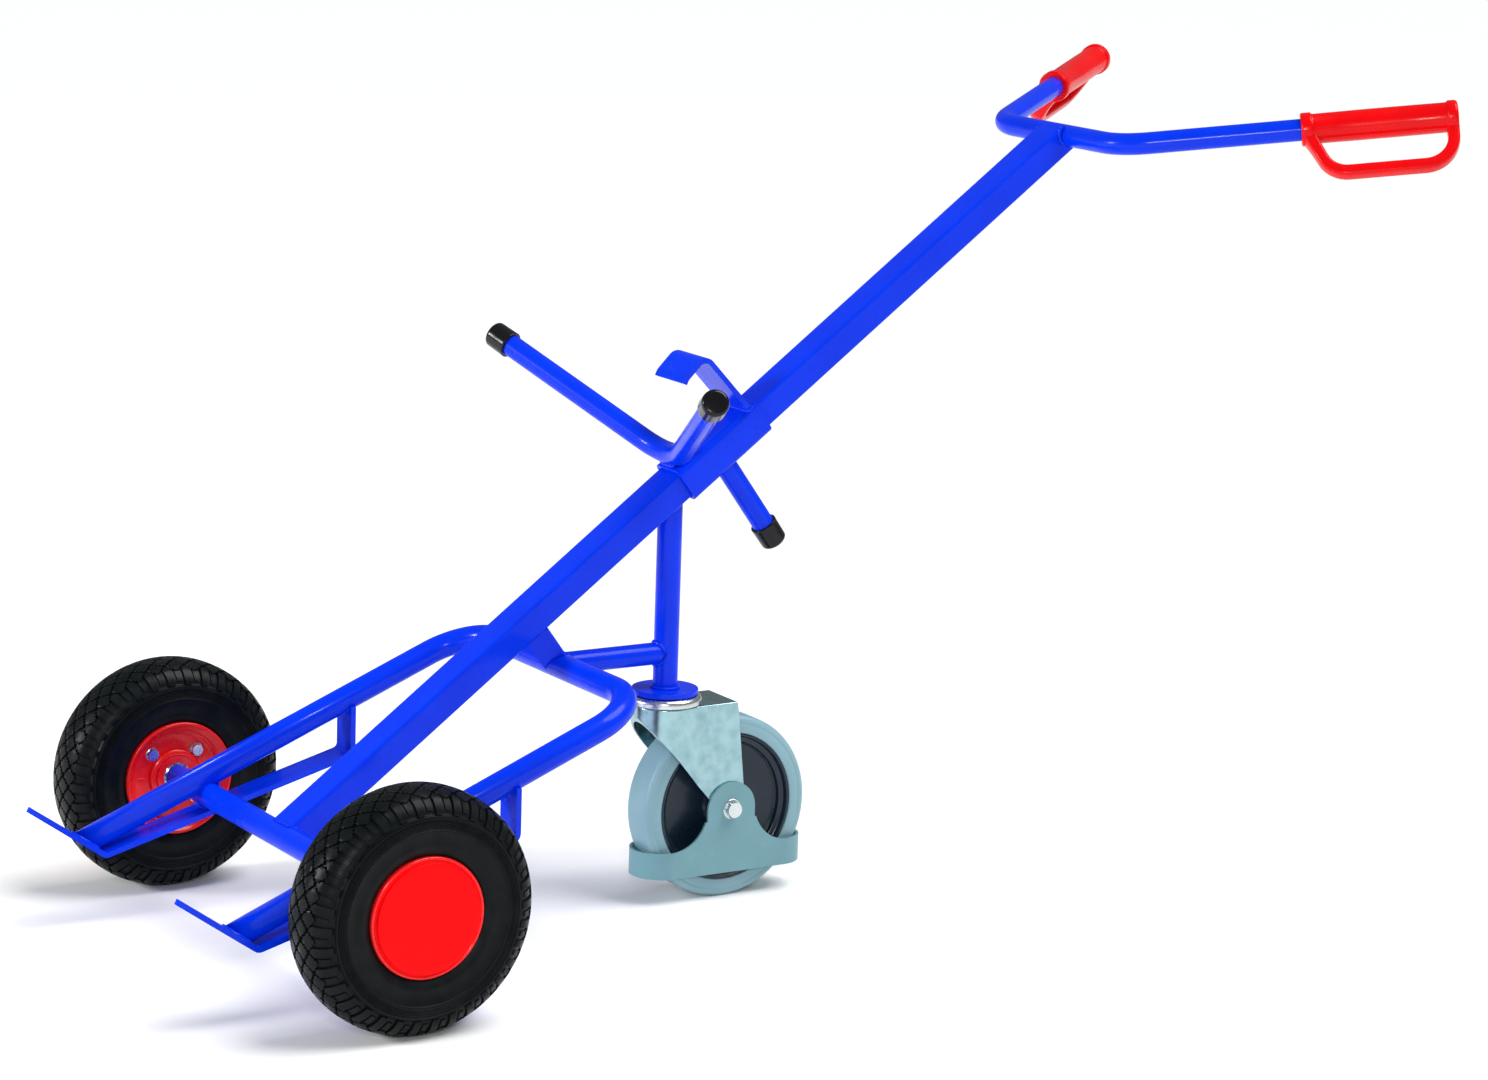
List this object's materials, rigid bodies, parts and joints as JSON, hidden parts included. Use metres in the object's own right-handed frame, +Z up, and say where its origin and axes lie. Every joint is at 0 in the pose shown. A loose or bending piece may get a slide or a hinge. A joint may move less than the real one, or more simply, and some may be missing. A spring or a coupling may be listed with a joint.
{
  "type": "hand truck",
  "caption": "Drum hand truck with two pneumatic wheels, a swivel support castor, toe prongs, a sliding drum hook with V cradle, and a wide handlebar with guarded grips.",
  "frame": {"origin": "on the floor, halfway along the truck's length and in its middle plane", "axes": "+Y from the toe prongs to the handlebar, +Z up, +X to the right in a view along +Y"},
  "size_m": [0.7326, 1.506, 0.9187],
  "materials": {
    "blue_paint": "gloss powder coat, bright blue, with a fine orange-peel texture",
    "red_paint": "gloss red paint on pressed steel",
    "red_cap": "glossy red moulded plastic, plain face",
    "red_grip": "soft red vinyl, slightly glossy",
    "tyre_rubber": "black tyre rubber, semi-matt",
    "tube_rubber": "black butyl rubber",
    "zinc": "bright zinc-plated steel",
    "fork_zinc": "zinc-plated pressed sheet steel",
    "bearing_steel": "ground bearing steel",
    "guard_grey": "semi-gloss grey-green paint",
    "castor_rubber": "pale grey non-marking rubber",
    "castor_plastic": "dark blue-grey moulded plastic",
    "black_cap": "black PVC, slightly shiny"
  },
  "bodies": {
    "frame": {"mast": "blue_paint", "u_frame": "blue_paint", "axle_tube": "blue_paint", "axle_shaft": "zinc", "toe_strip_left": "blue_paint", "toe_strip_right": "blue_paint", "mast_bracket": "blue_paint", "castor_post": "blue_paint", "castor_strut": "blue_paint", "castor_plate": "blue_paint", "stud_nut": "zinc", "handlebar": "blue_paint", "grip_left": "red_grip", "grip_right": "red_grip", "axle_washers": "zinc", "split_pins": "zinc", "castor_stud": "zinc", "castor_head": "fork_zinc"},
    "hook_carriage": {"hook_sleeve": "blue_paint", "drum_hook": "blue_paint", "drum_cradle": "blue_paint", "cradle_cap_left": "black_cap", "cradle_cap_right": "black_cap", "sleeve_handle": "blue_paint", "sleeve_handle_cap": "black_cap"},
    "left_wheel": {"tyre_left": "tyre_rubber", "inner_tube_left": "tube_rubber", "valve_left": "tube_rubber", "rim_outer_left": "red_paint", "rim_inner_left": "red_paint", "rim_bolts_left": "zinc", "rim_nuts_left": "zinc", "hub_left": "red_paint", "bearings_left": "bearing_steel", "hub_cap_left": "red_cap"},
    "right_wheel": {"tyre_right": "tyre_rubber", "inner_tube_right": "tube_rubber", "valve_right": "tube_rubber", "rim_outer_right": "red_paint", "rim_inner_right": "red_paint", "rim_bolts_right": "zinc", "rim_nuts_right": "zinc", "hub_right": "red_paint", "bearings_right": "bearing_steel", "hub_cap_right": "red_cap"},
    "castor_fork": {"castor_fork": "fork_zinc", "castor_balls": "bearing_steel", "castor_axle_bolt": "zinc", "castor_axle_nut": "zinc", "castor_axle_sleeve": "zinc", "castor_toe_guard": "guard_grey"},
    "castor_wheel": {"castor_tread": "castor_rubber", "castor_core": "castor_plastic", "castor_bushes": "black_cap"}
  },
  "joints": [
    {"name": "left_wheel_spin", "type": "hinge", "parent": "frame", "child": "left_wheel", "pos_m": [-0.298, -0.543, 0.13], "axis": [1, 0, 0], "continuous": true},
    {"name": "right_wheel_spin", "type": "hinge", "parent": "frame", "child": "right_wheel", "pos_m": [0.298, -0.543, 0.13], "axis": [1, 0, 0], "continuous": true},
    {"name": "castor_swivel", "type": "hinge", "parent": "frame", "child": "castor_fork", "pos_m": [0, -0.0705, 0.226], "axis": [0, 0, 1], "continuous": true},
    {"name": "castor_wheel_spin", "type": "hinge", "parent": "castor_fork", "child": "castor_wheel", "pos_m": [0, 0.0015, 0.105], "axis": [1, 0, 0], "continuous": true},
    {"name": "hook_slide", "type": "slide", "parent": "frame", "child": "hook_carriage", "axis": [0, 0.8039, 0.5948], "range_m": [0, 0.475]}
  ]
}
